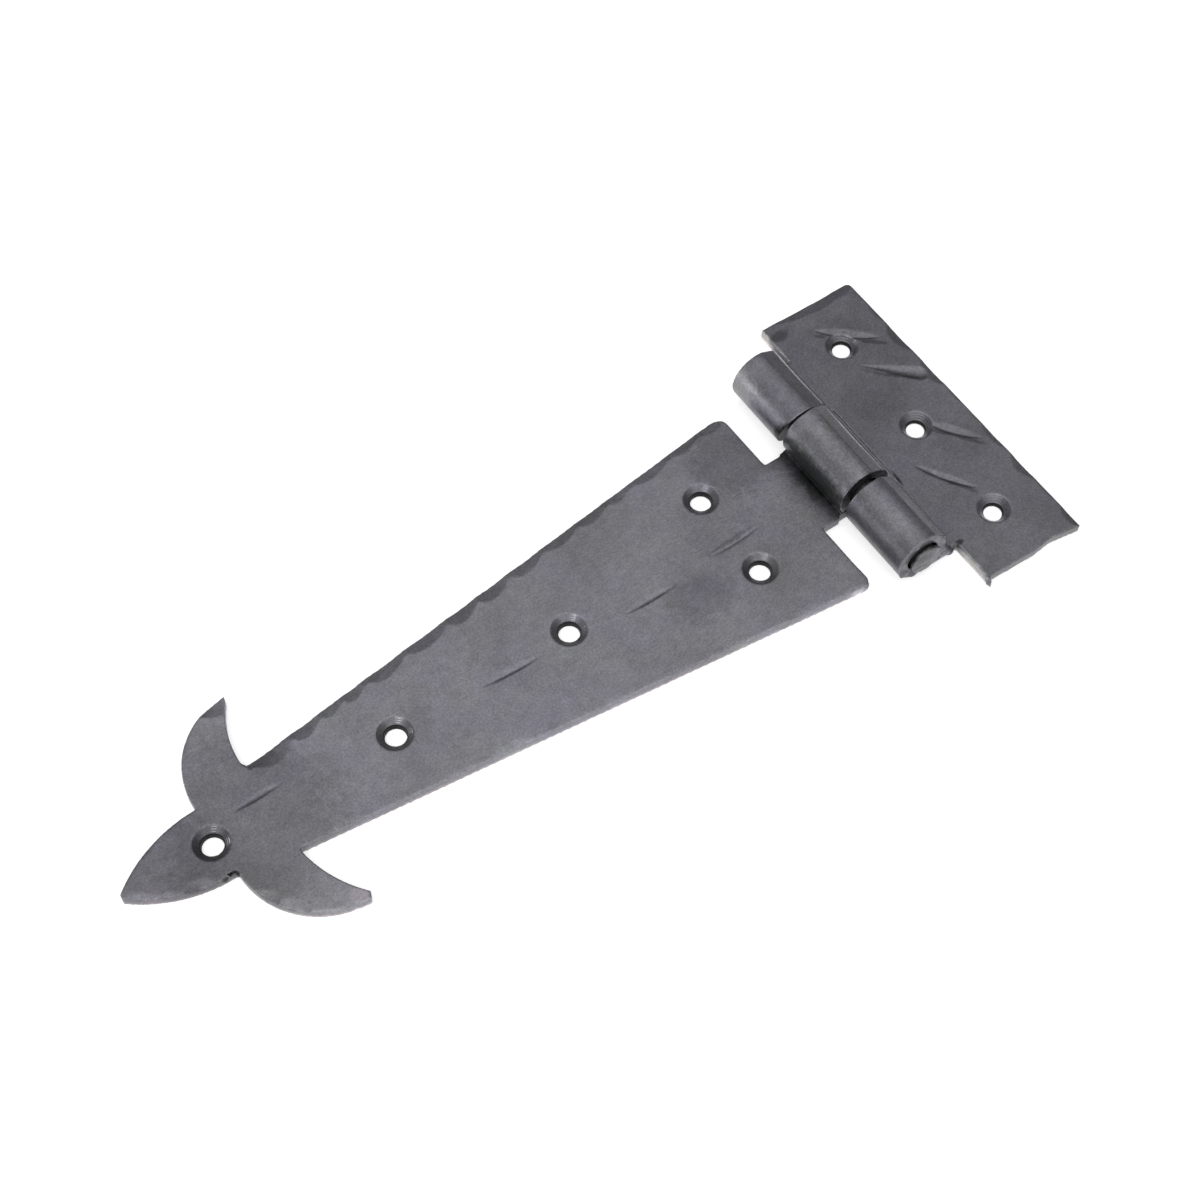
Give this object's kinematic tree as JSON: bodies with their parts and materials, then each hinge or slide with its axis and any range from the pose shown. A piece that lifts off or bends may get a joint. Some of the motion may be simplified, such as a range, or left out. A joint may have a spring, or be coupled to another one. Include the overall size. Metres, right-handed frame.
{
  "type": "arrow hinge",
  "caption": "Hand-forged T-hinge: a long tapered strap with an arrow-head end and a short rectangular leaf, joined by rolled knuckles on a steel pin, with countersunk screw holes.",
  "frame": {"origin": "on the back plane of the hinge, straight behind the pin's axis and on the strap's centre line, with the hinge open flat", "axes": "+X from the arrow tip across the pin towards the short leaf, +Y along the pin, +Z out of the face that is seen when the hinge is screwed on"},
  "size_m": [0.2736, 0.1054, 0.0169],
  "materials": {
    "forged_steel": "dark waxed forged steel, satin, faintly mottled",
    "pin_steel": "dark waxed steel, hammered ends"
  },
  "bodies": {
    "fixed": {"fixed_leaf": "forged_steel", "hinge_pin": "pin_steel"},
    "strap": {"strap_leaf": "forged_steel"}
  },
  "joints": [
    {"name": "strap_swing", "type": "hinge", "parent": "fixed", "child": "strap", "pos_m": [0, 0, 0.00845], "axis": [0, 1, 0], "range_deg": [0, 180]}
  ]
}
